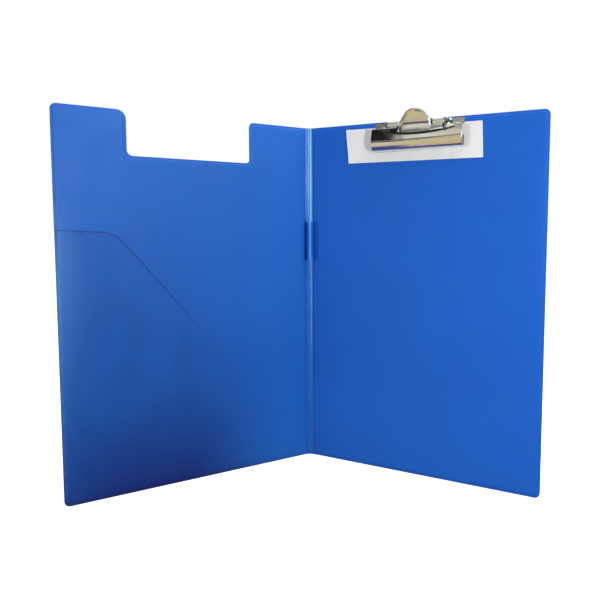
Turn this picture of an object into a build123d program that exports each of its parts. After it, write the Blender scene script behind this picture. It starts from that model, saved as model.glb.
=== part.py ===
from build123d import *
import math
import os

os.makedirs("parts", exist_ok=True)

# ---------------------------------------------------------------- dimensions
# Fold-over clipboard folder for A4 and foolscap sheets. Millimetres.
board_w = 235.0        # each cover, from its fold line to its outer edge
board_h = 340.0        # height of the covers and of the spine
spine_w = 6.0          # between the two fold lines
opening_deg = 120.0    # angle between the covers as it stands
corner_r = 5.0         # rounded outer corners of the covers

core_t = 2.0           # greyboard stiffener
pvc_t = 0.4            # each of the two vinyl sheets
rim = 2.0              # welded margin outside the stiffener
fold_gap = 0.6         # from a fold line to the rigid part of a sheet

# notch in the front cover that lets the clip through (u is the distance
# from the cover's fold line, z the height)
notch_u_in = 62.0
notch_u_out = 175.5
notch_z = 301.2
notch_r_tab_out = 8.0
notch_r_tab_in = 5.0
notch_r_bot_out = 5.0
notch_r_bot_in = 3.5

# document pocket inside the front cover
pocket_z_outer = 236.6
pocket_knee_u = 188.0
pocket_knee_z = 234.6
pocket_end_u = 3.0
pocket_end_z = 6.0
pocket_knee_r = 9.0
pocket_t = 0.35
pocket_gap = 0.6       # empty pocket, sheet lying this far off the cover

# pen loop on the spine
loop_z0 = 206.0
loop_z1 = 246.0
loop_w = 7.0
loop_d = 10.0
loop_t = 0.5
loop_l = 2.2            # its middle, from the rear fold line

# clip, centred clip_u from the rear cover's fold line. In the clip, s runs
# along the cover from that centre and n stands off the cover's mid-plane.
clip_u = 116.7
plate_w = 88.0
plate_t = 0.7
plate_z0 = 314.0
plate_z1 = 338.6
pin_n = 6.0
pin_z = 336.0
pin_r = 1.5
pin_len = 63.0
bore_r = 1.56
knuckle_r = 3.0
knuckle_s0 = 16.0
knuckle_s1 = 28.5
ear_s0 = 29.2
ear_t = 1.0
tongue_w = 2.4
jaw_w = 89.0
jaw_t = 0.9
lever_t = 0.8
tab_half = 15.4        # half width of the thumb tab at its foot
tab_tilt_deg = 15.0    # thumb tab leans this far off the cover
tab_rim = 4.0          # depth of the tab's turned-back rim
rivet_s = 21.0
rivet_z = 322.5
rivet_r = 2.0

# loose paper slip held by the clip
slip_t = 0.25
slip_n = 2.2
slip_pts = [(44.4, 302.4), (178.5, 301.9), (177.2, 334.1), (41.2, 335.0)]
slip_cut_half = 33.5
slip_cut_z = 317.0

half_t = core_t / 2 + pvc_t                # 1.4, mid-plane to a cover's face
fold_each = (180.0 - opening_deg) / 2.0    # 30, turn taken by each fold line


# ---------------------------------------------------------------- local frames
# rear cover: x = u, y = height, z = n, off the inner face
rear = Plane(origin=(0, 0, 0), x_dir=(1, 0, 0), z_dir=(0, -1, 0))


def turned(angle):
    return (math.cos(math.radians(angle)), math.sin(math.radians(angle)))


# spine: x = -(distance from the rear fold), z = n towards the inside
sx, sy = turned(180.0 + fold_each)
spine = Plane(origin=(0, 0, 0), x_dir=(-sx, -sy, 0), z_dir=(-sy, sx, 0))
front_fold = (spine_w * sx, spine_w * sy)
# front cover: x = -u, z = n towards the inside
fx, fy = turned(180.0 + 2 * fold_each)
front = Plane(origin=(front_fold[0], front_fold[1], 0), x_dir=(-fx, -fy, 0), z_dir=(-fy, fx, 0))


def rounded(points, radii):
    """A face through the points, each corner rounded by its radius."""
    face = Sketch() + make_face(Polyline(*[(p[0], p[1]) for p in points], close=True))
    for p, r in zip(points, radii):
        if r > 0:
            v = face.vertices().sort_by_distance((p[0], p[1], 0))[0]
            face = fillet(v, r)
    return face


def slab(face, z0, z1):
    return Pos(0, 0, z0) * extrude(face, amount=z1 - z0, dir=(0, 0, 1))


def rear_outline(inset, x_in):
    i = inset
    r = corner_r - i * 0.6
    near = 0.0 if x_in < 1.0 else 1.5
    return rounded(
        [(x_in, i), (board_w - i, i), (board_w - i, board_h - i), (x_in, board_h - i)],
        [near, r, r, near],
    )


def front_outline(inset, u_in):
    i = inset
    r = corner_r - i * 0.6
    near = 0.0 if u_in < 1.0 else 1.5
    pts = [
        (u_in, i),
        (board_w - i, i),
        (board_w - i, board_h - i),
        (notch_u_out + i, board_h - i),
        (notch_u_out + i, notch_z - i),
        (notch_u_in - i, notch_z - i),
        (notch_u_in - i, board_h - i),
        (u_in, board_h - i),
    ]
    radii = [
        near, r, r, notch_r_tab_out - i, notch_r_bot_out + i,
        notch_r_bot_in + i, notch_r_tab_in - i, near,
    ]
    return rounded([(-u, z) for u, z in pts], radii)


def skin(outline, side):
    """One vinyl sheet of a cover, from the mid-plane outwards: a flat welded
    margin and a raised panel over the stiffener."""
    margin = slab(outline(0.0, fold_gap), 0, pvc_t)
    panel = slab(outline(rim, rim), 0, half_t)
    hollow = slab(outline(rim + pvc_t, rim + pvc_t), -1, core_t / 2)
    body = margin + panel - hollow
    return body if side > 0 else mirror(body, about=Plane.XY)


def drill(body, r):
    for s in (-rivet_s, rivet_s):
        body -= Pos(clip_u + s, rivet_z, 0) * Cylinder(r, 20)
    return body


# ---------------------------------------------------------------- rear cover
rear_board_core = drill(slab(rear_outline(rim + pvc_t, rim + pvc_t), -core_t / 2, core_t / 2), rivet_r)
rear_inner_skin = drill(skin(rear_outline, +1), rivet_r)
rear_outer_skin = drill(skin(rear_outline, -1), rivet_r)

# ---------------------------------------------------------------- front cover
front_board_core = slab(front_outline(rim + pvc_t, rim + pvc_t), -core_t / 2, core_t / 2)
front_inner_skin = skin(front_outline, +1)
front_outer_skin = skin(front_outline, -1)


def pocket_outline(i, grow=0.0):
    """The pocket, set in by i along its two welded edges, and grown by grow
    past its free top and slanted edges."""
    slope = (pocket_knee_z - pocket_end_z) / (pocket_knee_u - pocket_end_u)
    g = grow * math.sqrt(1 + slope * slope)
    pts = [
        (pocket_end_u - (i if grow else 0.0), i),
        (board_w - i, i),
        (board_w - i, pocket_z_outer + grow),
        (pocket_knee_u - grow * 0.5, pocket_knee_z + grow),
        (pocket_end_u - (i if grow else 0.0), pocket_end_z + g),
    ]
    return rounded([(-u, z) for u, z in pts], [0, corner_r - 0.6 * i, 0, pocket_knee_r, 0])


pocket_in = 1.2
pocket_top = half_t + pocket_gap + pocket_t
document_pocket = (
    slab(pocket_outline(pocket_in), pvc_t, pocket_top)
    - slab(pocket_outline(pocket_in + pocket_t, grow=4.0), 0, pocket_top - pocket_t)
    + (slab(pocket_outline(0.0), pvc_t, pvc_t + pocket_t) - slab(pocket_outline(pocket_in, grow=4.0), 0, 3))
)

# ---------------------------------------------------------------- spine
strip = Pos(-spine_w / 2, board_h / 2, 0) * Rectangle(spine_w - 2 * fold_gap, board_h)
spine_inner_skin = slab(strip, 0, pvc_t)
spine_outer_skin = slab(strip, -pvc_t, 0)

# pen loop: a strip of vinyl closed on itself, its foot welded to the spine
loop_h = loop_z1 - loop_z0
loop_c = Pos(-loop_l, pvc_t + loop_d / 2, 0)
loop_ring = loop_c * Ellipse(loop_w / 2, loop_d / 2)
loop_foot = Pos(-loop_l - 0.2, pvc_t + 0.45, 0) * Rectangle(3.6, 0.9)
loop_bore = loop_c * Ellipse(loop_w / 2 - loop_t, loop_d / 2 - loop_t)
pen_loop = extrude(loop_ring + loop_foot - loop_bore, amount=loop_h, dir=(0, 0, 1))
# drawn in the plane across the spine, then stood up: y becomes n
pen_loop = Pos(0, loop_z1, 0) * Rot(90, 0, 0) * pen_loop


# ---------------------------------------------------------------- clip
# clip frame: x = s, y = height, z = n. Profiles are drawn in (n, z) and
# extruded along s.
clip = Plane(origin=(clip_u, 0, 0), x_dir=(1, 0, 0), z_dir=(0, -1, 0))


def along(face_nz, s0, s1):
    """Extrudes a face drawn as x = n, y = height over s0..s1."""
    solid = extrude(face_nz, amount=s1 - s0, dir=(0, 0, 1))
    # x = n goes to z, y stays, and the extrusion runs from s1 back to s0
    return Plane(origin=(s1, 0, 0), x_dir=(0, 0, 1), z_dir=(-1, 0, 0)).location * solid


def band(points, t0, t1, ends=None):
    """A closed face between two offsets of one smooth curve. The curve runs
    from the top down, and positive offsets lie on its outer side."""
    curve = Spline(*points)
    n = 15
    outer, inner = [], []
    for k in range(n):
        f = k / (n - 1)
        p = curve @ f
        d = (curve % f).normalized()
        side = Vector(-d.Y, d.X)
        outer.append((p.X + side.X * t1, p.Y + side.Y * t1))
        inner.append((p.X + side.X * t0, p.Y + side.Y * t0))
    e1, e2 = Spline(*outer), Spline(*inner)
    return make_face([e1, Line(e1 @ 1, e2 @ 1), e2, Line(e2 @ 0, e1 @ 0)])


# outer surface of the jaw channel, (n, z) from the top edge to the lip
jaw_curve = [(9.2, 332.4), (10.6, 327.4), (11.4, 322.2), (11.4, 318.2), (10.5, 315.0), (8.4, 312.9), (5.6, 311.7), (3.0, 310.9)]
jaw = along(band(jaw_curve, -jaw_t, 0.0), -jaw_w / 2, jaw_w / 2)

pin_at = (pin_n, pin_z)
tube = Pos(*pin_at) * (Circle(knuckle_r) - Circle(bore_r))
# each knuckle carries, at one end, a narrow tongue over the lever's apron
web = Sketch() + make_face(Polyline((8.3, 333.4), (9.2, 333.4), (9.0, 336.0), (7.9, 336.6), close=True))
web = web + make_face(Polyline((8.35, 331.8), (9.3, 331.8), (9.25, 334.0), (8.2, 334.0), close=True))
tongue = make_face(
    Polyline((8.6, 336.0), (9.0, 336.0), (10.9, 333.4), (12.5, 328.4), (11.75, 328.2), (10.15, 333.0), (9.0, 334.4), (8.6, 334.8), close=True)
)
knuckle = tube + (web - Pos(*pin_at) * Circle(knuckle_r - 0.3))
tongue = tongue - Pos(*pin_at) * Circle(knuckle_r - 0.3)
for side in (-1, 1):
    a, b = sorted((side * knuckle_s0, side * knuckle_s1))
    jaw += along(knuckle, a, b)
    jaw += along(tongue, b - tongue_w, b)
clip_jaw = jaw

# lever: apron lying on the jaw, web, and dished thumb tab
apron_profile = band(jaw_curve[:3], 0.0, lever_t)
apron = along(apron_profile, -38.0, 38.0)
arc_low = ThreePointArc((-38.0, 330.8), (0.0, 326.2), (38.0, 330.8))
lens = make_face([arc_low, Line((38.0, 330.8), (34.0, 333.0)), Line((34.0, 333.0), (-34.0, 333.0)), Line((-34.0, 333.0), (-38.0, 330.8))])
apron = apron & slab(lens, 5, 16)
for side in (-1, 1):   # slots that let the knuckles' tongues through
    a, b = sorted((side * knuckle_s0, side * knuckle_s1))
    apron -= along(knuckle, a - 0.2, b + 0.2)
    apron -= along(tongue, b - tongue_w - 0.2, b + 0.2)
    apron -= Pos((a + b) / 2, 332.6, 10) * Box(b - a + 0.4, 1.2, 8)

tilt = math.radians(tab_tilt_deg)
foot_n, foot_z = 10.0, 334.3
tab_plane = Plane(
    origin=(0, foot_z, foot_n),
    x_dir=(1, 0, 0),
    z_dir=(0, -math.sin(tilt), math.cos(tilt)),
)


def tab_outline(d):
    """The thumb tab's outline, set in by d: slanting sides and a round top."""
    k = 0.78 * d
    foot, mid, shoulder, top = (tab_half - d, 0.0), (12.3 - k, 6.8 - 0.5 * k), (8.0 - 0.7 * k, 12.0 - k), (0.0, 14.5 - d)
    left = [(-x, y) for x, y in (foot, mid, shoulder)]
    return make_face([
        ThreePointArc(foot, mid, shoulder),
        ThreePointArc(shoulder, top, left[2]),
        ThreePointArc(left[2], left[1], left[0]),
        Line(left[0], foot),
    ])


tab_face = tab_outline(0.0)
tab_hollow = tab_outline(lever_t)
tab = slab(tab_face, -tab_rim, 0) - slab(tab_hollow, -tab_rim - 1, -lever_t)
# the rim runs out towards the foot, where the tab clears the spring
tab -= Pos(0, -1.0, -tab_rim - 0.75) * Box(60, 8.0, 2 * tab_rim)
tab = tab_plane.location * tab
web_face = make_face(
    Polyline((9.45, 332.0), (10.15, 332.0), (9.95, 333.8), (10.35, 335.0), (9.6, 335.35), (9.15, 334.0), close=True)
)
lever_web = along(web_face, -tab_half, tab_half)
clip_lever = apron + lever_web + tab

# base plate with two ears that carry the pin
clip_base_plate = Pos(0, (plate_z0 + plate_z1) / 2, half_t + plate_t / 2) * Box(plate_w, plate_z1 - plate_z0, plate_t)
ear = Pos((half_t + pin_n) / 2, pin_z) * Rectangle(pin_n - half_t, 2 * knuckle_r) + Pos(*pin_at) * Circle(knuckle_r)
ear = ear - Pos(*pin_at) * Circle(pin_r)
for s0 in (-ear_s0 - ear_t, ear_s0):
    clip_base_plate += along(ear, s0, s0 + ear_t)
for s in (-rivet_s, rivet_s):
    clip_base_plate -= Pos(s, rivet_z, 0) * Cylinder(rivet_r, 20)

pin_face = Pos(*pin_at) * Circle(pin_r)
pivot_pin = along(pin_face, -pin_len / 2, pin_len / 2)
pivot_pin = chamfer(pivot_pin.edges().filter_by(GeomType.CIRCLE), 0.3)

# torsion spring round the pin: one leg on the base plate, one behind the tab
wire_r = 0.4
coil_r = 2.25
turns = 8
pitch = 1.15
coil_path = Helix(pitch=pitch, height=pitch * turns, radius=coil_r)
coil = sweep(Plane(origin=coil_path @ 0, z_dir=coil_path % 0) * Circle(wire_r), path=coil_path)
# stood along s, centred on the pin; both ends leave on the side that faces +x
# of the helix frame, which is turned to point away from the cover
coil = Plane(origin=(-pitch * turns / 2, pin_z, pin_n), x_dir=(0, 0, 1), z_dir=(1, 0, 0)).location * coil


def rod(a, b, r):
    va, vb = Vector(*a), Vector(*b)
    return Plane(origin=va, z_dir=(vb - va)).location * (Pos(0, 0, (vb - va).length / 2) * Cylinder(r, (vb - va).length))


leg_front = rod((pitch * turns / 2, pin_z - 0.6, pin_n + coil_r), (pitch * turns / 2, 342.0, 10.7), wire_r)
leg_back = rod((-pitch * turns / 2, pin_z + 0.5, pin_n + coil_r), (-pitch * turns / 2, 324.0, 2.55), wire_r)
torsion_spring = coil + leg_front + leg_back

# rivets: flat head behind, clinched head on the base plate
washer_t = 0.6
front_head = half_t + plate_t
rivet = Pos(0, 0, (front_head + 0.6 - (half_t + washer_t)) / 2) * Cylinder(rivet_r, front_head + 0.6 + half_t + washer_t)
rivet += Pos(0, 0, front_head + 0.3) * Cylinder(3.2, 0.6)
back_head = Pos(0, 0, -(half_t + washer_t + 0.5)) * Cylinder(3.9, 1.0)
back_head = fillet(back_head.edges().filter_by(GeomType.CIRCLE).sort_by(Axis.Z)[0], 0.7)
rivet += back_head
rivets = [Pos(s, rivet_z, 0) * rivet for s in (-rivet_s, rivet_s)]
washer = Pos(0, 0, -(half_t + washer_t / 2)) * (Cylinder(5.5, washer_t) - Cylinder(rivet_r, washer_t * 2))
washers = [Pos(s, rivet_z, 0) * washer for s in (-rivet_s, rivet_s)]

# ---------------------------------------------------------------- paper slip
slip = rounded(slip_pts, [0.6, 0.6, 0.6, 0.6])
slip -= Pos(clip_u, slip_cut_z + 20) * Rectangle(2 * slip_cut_half, 40)
paper_slip = slab(slip, slip_n, slip_n + slip_t)

# ---------------------------------------------------------------- assembly
R, F, S, C = rear.location, front.location, spine.location, clip.location
pieces = {
    "rear_board_core": [R * rear_board_core],
    "rear_inner_skin": [R * rear_inner_skin],
    "rear_outer_skin": [R * rear_outer_skin],
    "front_board_core": [F * front_board_core],
    "front_inner_skin": [F * front_inner_skin],
    "front_outer_skin": [F * front_outer_skin],
    "document_pocket": [F * document_pocket],
    "spine_inner_skin": [S * spine_inner_skin],
    "spine_outer_skin": [S * spine_outer_skin],
    "pen_loop": [S * pen_loop],
    "clip_base_plate": [C * clip_base_plate],
    "clip_jaw": [C * clip_jaw],
    "clip_lever": [C * clip_lever],
    "pivot_pin": [C * pivot_pin],
    "torsion_spring": [C * torsion_spring],
    "rivets": [C * r for r in rivets],
    "rivet_washers": [C * w for w in washers],
    "paper_slip": [R * paper_slip],
}

# origin: middle of the footprint's bounding box, on the floor
whole = Compound(children=[Compound(b.wrapped) if b.wrapped.ShapeType() == 0 else b for p in pieces.values() for b in p])
box = whole.bounding_box()
shift = (-(box.min.X + box.max.X) / 2, -(box.min.Y + box.max.Y) / 2, -box.min.Z)
print("box", box.min, box.max, "shift", [round(v, 4) for v in shift])
for name, bodies in pieces.items():
    solids = []
    for b in bodies:
        solids += [Pos(*shift) * s for s in b.solids()]
    shape = solids[0] if len(solids) == 1 else Compound(children=solids)
    export_step(shape, f"parts/{name}.step")
    print(f"{name:18s} solids {len(solids)}  volume {sum(s.volume for s in solids):10.1f}")
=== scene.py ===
import math

import bmesh
import bpy
import numpy as np
from mathutils import Matrix, Vector, noise
from mathutils.geometry import delaunay_2d_cdt


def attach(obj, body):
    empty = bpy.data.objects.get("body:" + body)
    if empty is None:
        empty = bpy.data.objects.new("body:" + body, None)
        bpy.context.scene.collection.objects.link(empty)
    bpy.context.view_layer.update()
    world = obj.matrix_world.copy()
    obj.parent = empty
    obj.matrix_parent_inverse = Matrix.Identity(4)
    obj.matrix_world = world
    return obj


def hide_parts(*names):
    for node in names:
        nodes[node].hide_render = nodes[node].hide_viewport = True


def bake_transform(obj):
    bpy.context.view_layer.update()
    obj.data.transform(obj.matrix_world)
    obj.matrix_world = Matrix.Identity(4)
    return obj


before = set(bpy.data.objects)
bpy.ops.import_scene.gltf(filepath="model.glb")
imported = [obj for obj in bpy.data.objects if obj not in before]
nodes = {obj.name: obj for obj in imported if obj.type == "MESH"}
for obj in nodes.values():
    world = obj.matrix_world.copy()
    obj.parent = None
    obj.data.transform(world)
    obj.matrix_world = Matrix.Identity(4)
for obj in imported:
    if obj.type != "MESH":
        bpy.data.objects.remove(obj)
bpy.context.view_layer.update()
scene = bpy.context.scene
MM = 0.001

# ---------------------------------------------------------------- camera
# position and angles in the row frame; the lens shift places the optical
# centre where the photograph has it
cam_data = bpy.data.cameras.new("camera")
cam = bpy.data.objects.new("camera", cam_data)
scene.collection.objects.link(cam)
scene.camera = cam
yaw, pitch, roll = math.radians(-27.2535), math.radians(4.768), math.radians(0.1534)
forward = Vector((math.sin(yaw) * math.cos(pitch), math.cos(yaw) * math.cos(pitch), -math.sin(pitch)))
right = Vector((math.cos(yaw), -math.sin(yaw), 0.0))
up = right.cross(forward)
right_r = right * math.cos(roll) + up * math.sin(roll)
up_r = up * math.cos(roll) - right * math.sin(roll)
cam.matrix_world = Matrix((
    (right_r.x, up_r.x, -forward.x, 0.272822),
    (right_r.y, up_r.y, -forward.y, -0.440171),
    (right_r.z, up_r.z, -forward.z, 0.238578),
    (0, 0, 0, 1),
))
cam_data.sensor_width = 36.0
cam_data.lens = 611.586 / 600 * 36.0
cam_data.shift_x = (300.0 - 354.609) / 600
cam_data.shift_y = (279.640 - 300.0) / 600
cam_data.clip_start = 0.01
cam_data.clip_end = 100.0
cam_data.dof.use_dof = False

# ---------------------------------------------------------------- local frames, in mm
SHIFT = np.array([-55.9787, 101.9455, 0.0])
C30, S30 = math.cos(math.radians(30)), 0.5
FRONT_FOLD = SHIFT + np.array([-6 * C30, -3.0, 0.0])
BOARD_W, BOARD_H, SPINE_W = 235.0, 340.0, 6.0


def rear(u, z, n):
    """Rear cover: u from its fold line, z height, n off the mid-plane to the inside."""
    return ((SHIFT[0] + u) * MM, (SHIFT[1] - n) * MM, z * MM)


def front(u, z, n):
    return (
        (FRONT_FOLD[0] - 0.5 * u + C30 * n) * MM,
        (FRONT_FOLD[1] - C30 * u - 0.5 * n) * MM,
        z * MM,
    )


def spine(l, z, n):
    """Spine: l from the rear fold line towards the front one."""
    return (
        (SHIFT[0] - C30 * l + 0.5 * n) * MM,
        (SHIFT[1] - S30 * l - C30 * n) * MM,
        z * MM,
    )


CLIP_U = 116.7


def clip(s, z, n):
    return rear(CLIP_U + s, z, n)


# ---------------------------------------------------------------- materials
def new_material(name):
    m = bpy.data.materials.new(name)
    m.use_nodes = True
    nt = m.node_tree
    nt.nodes.clear()
    out = nt.nodes.new("ShaderNodeOutputMaterial")
    bsdf = nt.nodes.new("ShaderNodeBsdfPrincipled")
    nt.links.new(bsdf.outputs["BSDF"], out.inputs["Surface"])
    return m, nt, bsdf


def node(nt, kind, **inputs):
    n = nt.nodes.new(kind)
    for key, value in inputs.items():
        n.inputs[key.replace("_", " ")].default_value = value
    return n


def noise_tex(nt, coord, scale, detail=2.0, rough=0.5, distortion=0.0):
    n = node(nt, "ShaderNodeTexNoise", Scale=scale, Detail=detail, Roughness=rough, Distortion=distortion)
    nt.links.new(coord, n.inputs["Vector"])
    return n


def ramp(nt, fac, stops):
    r = nt.nodes.new("ShaderNodeValToRGB")
    nt.links.new(fac, r.inputs["Fac"])
    el = r.color_ramp.elements
    while len(el) > 1:
        el.remove(el[-1])
    el[0].position, el[0].color = stops[0][0], (*stops[0][1], 1)
    for p, c in stops[1:]:
        e = el.new(p)
        e.color = (*c, 1)
    return r


def remap(nt, fac, lo, hi, to_lo, to_hi):
    m = nt.nodes.new("ShaderNodeMapRange")
    m.inputs["From Min"].default_value = lo
    m.inputs["From Max"].default_value = hi
    m.inputs["To Min"].default_value = to_lo
    m.inputs["To Max"].default_value = to_hi
    nt.links.new(fac, m.inputs["Value"])
    return m


def bump(nt, height, strength, distance, normal=None):
    b = node(nt, "ShaderNodeBump", Strength=strength, Distance=distance)
    nt.links.new(height, b.inputs["Height"])
    if normal is not None:
        nt.links.new(normal, b.inputs["Normal"])
    return b


def vinyl(name, base, dark, rough=(0.34, 0.46), grain=1.0, level=0.38, painted_light=None, painted_sheen=None):
    """Calendered PVC sheet: slightly uneven blue, fine grain, soft orange peel."""
    m, nt, bsdf = new_material(name)
    tc = nt.nodes.new("ShaderNodeTexCoord").outputs["Object"]
    broad = noise_tex(nt, tc, 9.0, 3.0, 0.55)
    colour = ramp(nt, broad.outputs["Fac"], [(0.30, dark), (0.68, base)])
    tone = colour.outputs["Color"]
    if painted_light:
        # painted light: a second tone laid in by the sheet's own attribute, painted shade on the front cover and
        # pocket, painted highlight on the pen loop
        other = ramp(nt, broad.outputs["Fac"], [(0.30, painted_light[0]), (0.68, painted_light[1])])
        attr = nt.nodes.new("ShaderNodeAttribute")
        attr.attribute_name = "tone"
        blend = nt.nodes.new("ShaderNodeMix")
        blend.data_type = "RGBA"
        nt.links.new(attr.outputs["Fac"], blend.inputs["Factor"])
        nt.links.new(tone, blend.inputs["A"])
        nt.links.new(other.outputs["Color"], blend.inputs["B"])
        tone = blend.outputs["Result"]
    if painted_sheen:
        # painted sheen: paler where the sheet's own attribute asks
        sheen_attribute = nt.nodes.new("ShaderNodeAttribute")
        sheen_attribute.attribute_name = "painted_sheen"
        over = nt.nodes.new("ShaderNodeMix")
        over.data_type = "RGBA"
        nt.links.new(sheen_attribute.outputs["Fac"], over.inputs["Factor"])
        nt.links.new(tone, over.inputs["A"])
        over.inputs["B"].default_value = (*painted_sheen, 1.0)
        tone = over.outputs["Result"]
    nt.links.new(tone, bsdf.inputs["Base Color"])
    smudge = noise_tex(nt, tc, 34.0, 4.0, 0.6, 0.6)
    r = remap(nt, smudge.outputs["Fac"], 0.3, 0.7, rough[0], rough[1])
    nt.links.new(r.outputs["Result"], bsdf.inputs["Roughness"])
    fine = noise_tex(nt, tc, 2600.0, 2.0, 0.6)
    peel = noise_tex(nt, tc, 210.0, 2.0, 0.5)
    b1 = bump(nt, peel.outputs["Fac"], 0.22 * grain, 0.0004)
    b2 = bump(nt, fine.outputs["Fac"], 0.30 * grain, 0.00006, b1.outputs["Normal"])
    nt.links.new(b2.outputs["Normal"], bsdf.inputs["Normal"])
    bsdf.inputs["Specular IOR Level"].default_value = level
    return m


def metal(name, base, rough, wave=0.25, fine=0.0, smudge=0.05):
    """Plated pressed steel: near mirror, with the slight waviness of the press."""
    m, nt, bsdf = new_material(name)
    tc = nt.nodes.new("ShaderNodeTexCoord").outputs["Object"]
    tint = noise_tex(nt, tc, 60.0, 3.0, 0.6)
    c = ramp(nt, tint.outputs["Fac"], [(0.25, tuple(x * 0.9 for x in base)), (0.7, base)])
    nt.links.new(c.outputs["Color"], bsdf.inputs["Base Color"])
    bsdf.inputs["Metallic"].default_value = 1.0
    sm = noise_tex(nt, tc, 140.0, 4.0, 0.65, 0.4)
    r = remap(nt, sm.outputs["Fac"], 0.3, 0.75, rough, rough + smudge)
    nt.links.new(r.outputs["Result"], bsdf.inputs["Roughness"])
    w = noise_tex(nt, tc, 75.0, 1.0, 0.4)
    b = bump(nt, w.outputs["Fac"], wave, 0.0006)
    if fine:
        f = noise_tex(nt, tc, 1800.0, 2.0, 0.6)
        b = bump(nt, f.outputs["Fac"], fine, 0.00005, b.outputs["Normal"])
    nt.links.new(b.outputs["Normal"], bsdf.inputs["Normal"])
    return m


def paper_material():
    m, nt, bsdf = new_material("paper_white")
    tc = nt.nodes.new("ShaderNodeTexCoord").outputs["Object"]
    mottle = noise_tex(nt, tc, 55.0, 4.0, 0.6)
    c = ramp(nt, mottle.outputs["Fac"], [(0.3, (0.73, 0.73, 0.72)), (0.7, (0.79, 0.79, 0.78))])
    nt.links.new(c.outputs["Color"], bsdf.inputs["Base Color"])
    fibre = noise_tex(nt, tc, 1500.0, 3.0, 0.7)
    b = bump(nt, fibre.outputs["Fac"], 0.25, 0.00005)
    nt.links.new(b.outputs["Normal"], bsdf.inputs["Normal"])
    bsdf.inputs["Roughness"].default_value = 0.8
    bsdf.inputs["Specular IOR Level"].default_value = 0.3
    return m


def board_material():
    m, nt, bsdf = new_material("greyboard_pulp")
    tc = nt.nodes.new("ShaderNodeTexCoord").outputs["Object"]
    mottle = noise_tex(nt, tc, 300.0, 5.0, 0.7)
    c = ramp(nt, mottle.outputs["Fac"], [(0.3, (0.28, 0.26, 0.23)), (0.7, (0.40, 0.37, 0.33))])
    nt.links.new(c.outputs["Color"], bsdf.inputs["Base Color"])
    b = bump(nt, mottle.outputs["Fac"], 0.4, 0.0001)
    nt.links.new(b.outputs["Normal"], bsdf.inputs["Normal"])
    bsdf.inputs["Roughness"].default_value = 0.9
    return m


BLUE = (0.009, 0.124, 0.520)
BLUE_DARK = (0.008, 0.110, 0.475)
REAR_BLUE = (0.008, 0.108, 0.518)
REAR_DARK = (0.007, 0.096, 0.478)
# painted shade: the darker colours the front cover and pocket are painted towards
PAINTED_SHADE_BLUE = (0.003, 0.010, 0.135)
PAINTED_SHADE_DARK = (0.003, 0.009, 0.127)
# painted highlight colour for the pen loop's crown and top rim
PAINTED_HIGHLIGHT_BLUE = (0.125, 0.370, 0.850)
mat_vinyl = vinyl("vinyl_blue", BLUE, BLUE_DARK, level=0.58)
mat_rear = vinyl("vinyl_blue_rear", REAR_BLUE, REAR_DARK, level=0.36)
# front cover sheet: painted shade by its tone attribute, painted sheen near its free outer edge
mat_pocket = vinyl("vinyl_blue_front", BLUE, BLUE_DARK, level=0.58, painted_light=(PAINTED_SHADE_DARK, PAINTED_SHADE_BLUE), painted_sheen=(0.115, 0.265, 0.60))
mat_spine = vinyl("vinyl_blue_spine", BLUE, BLUE_DARK, rough=(0.11, 0.17), grain=0.22, level=0.60)
# pen loop: painted highlight by its tone attribute
mat_loop = vinyl("vinyl_blue_loop", BLUE, BLUE_DARK, rough=(0.18, 0.25), grain=0.3, level=0.22, painted_light=(PAINTED_HIGHLIGHT_BLUE, PAINTED_HIGHLIGHT_BLUE))
mat_plate = metal("nickel_plate", (0.80, 0.79, 0.76), 0.045, wave=0.10, smudge=0.035)
mat_spring = metal("spring_wire", (0.42, 0.41, 0.40), 0.22, 0.1, 0.3)
mat_pin = metal("pin_steel", (0.10, 0.10, 0.11), 0.48, 0.1, 0.3)
mat_rivet = metal("rivet_plate", (0.62, 0.62, 0.62), 0.16, 0.1, 0.25)
mat_base = metal("base_plate_nickel", (0.60, 0.59, 0.58), 0.20, wave=0.10, smudge=0.08)
mat_barrel = metal("barrel_plate", (0.86, 0.875, 0.90), 0.24, wave=0.10, smudge=0.08)
mat_dull = metal("dull_dark_plate", (0.36, 0.355, 0.345), 0.34, 0.1, 0.2)
mat_paper = paper_material()
mat_board = board_material()


# ---------------------------------------------------------------- mesh helpers
def make(name, verts, faces, material, body=None, replaces=(), slot=None, sharp=None):
    me = bpy.data.meshes.new(name)
    me.from_pydata([tuple(v) for v in verts], [], [tuple(f) for f in faces])
    me.validate()
    me.update()
    me.polygons.foreach_set("use_smooth", [True] * len(me.polygons))
    if sharp:
        me.set_sharp_from_angle(angle=math.radians(sharp))
    me.materials.append(material)
    obj = bpy.data.objects.new(name, me)
    scene.collection.objects.link(obj)
    if body:
        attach(obj, body)
    if replaces:
        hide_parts(*replaces)
    return obj


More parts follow.
